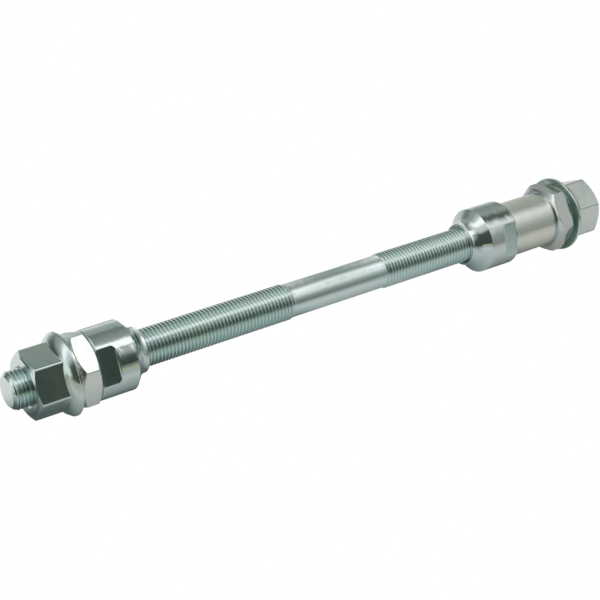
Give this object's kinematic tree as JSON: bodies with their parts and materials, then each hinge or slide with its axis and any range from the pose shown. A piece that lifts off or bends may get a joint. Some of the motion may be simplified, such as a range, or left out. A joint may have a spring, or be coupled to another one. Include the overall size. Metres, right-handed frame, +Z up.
{
  "type": "rear hub axle",
  "caption": "Solid bicycle rear hub axle, threaded at both ends with a plain middle, carrying bearing cones, a tubular spacer, locknuts and flanged axle nuts.",
  "frame": {"origin": "middle of the rod's length, on its axis", "axes": "+Y along the rod to the left of a rider who faces +X, so the spacer and the chain are on the -Y side, and +Z up; the wheel spins about +Y"},
  "size_m": [0.0206, 0.18, 0.0206],
  "materials": {
    "rod_zinc": "bright zinc plate with a cool blue-green tint, over a rolled thread",
    "nut_zinc": "bright zinc plate, satin on the flats",
    "locknut_zinc": "bright zinc plate, satin on the flats",
    "cone_bright": "ground and bright plated, near mirror",
    "spacer_satin": "satin plate with fine turning lines"
  },
  "bodies": {
    "axle": {"axle": "rod_zinc"},
    "cone_left": {"cone_left": "cone_bright"},
    "locknut_left": {"locknut_left": "locknut_zinc"},
    "nut_left": {"nut_left": "nut_zinc"},
    "cone_right": {"cone_right": "cone_bright"},
    "spacer": {"spacer": "spacer_satin"},
    "locknut_right": {"locknut_right": "locknut_zinc"},
    "nut_right": {"nut_right": "nut_zinc"}
  },
  "joints": [
    {"name": "cone_left_travel", "type": "slide", "parent": "axle", "child": "cone_left", "axis": [0, -1, 0], "range_m": [-0.0344, 0.0425]},
    {"name": "locknut_left_travel", "type": "slide", "parent": "cone_left", "child": "locknut_left", "axis": [0, 1, 0], "range_m": [0, 0.0204]},
    {"name": "nut_left_travel", "type": "slide", "parent": "locknut_left", "child": "nut_left", "axis": [0, 1, 0], "range_m": [0, 0.015]},
    {"name": "cone_right_travel", "type": "slide", "parent": "axle", "child": "cone_right", "axis": [0, 1, 0], "range_m": [-0.0457, 0.0279]},
    {"name": "spacer_travel", "type": "slide", "parent": "cone_right", "child": "spacer", "axis": [0, -1, 0], "range_m": [0, 0.0317]},
    {"name": "locknut_right_travel", "type": "slide", "parent": "spacer", "child": "locknut_right", "axis": [0, -1, 0], "range_m": [0, 0.0169]},
    {"name": "nut_right_travel", "type": "slide", "parent": "locknut_right", "child": "nut_right", "axis": [0, -1, 0], "range_m": [0, 0.0115]}
  ]
}
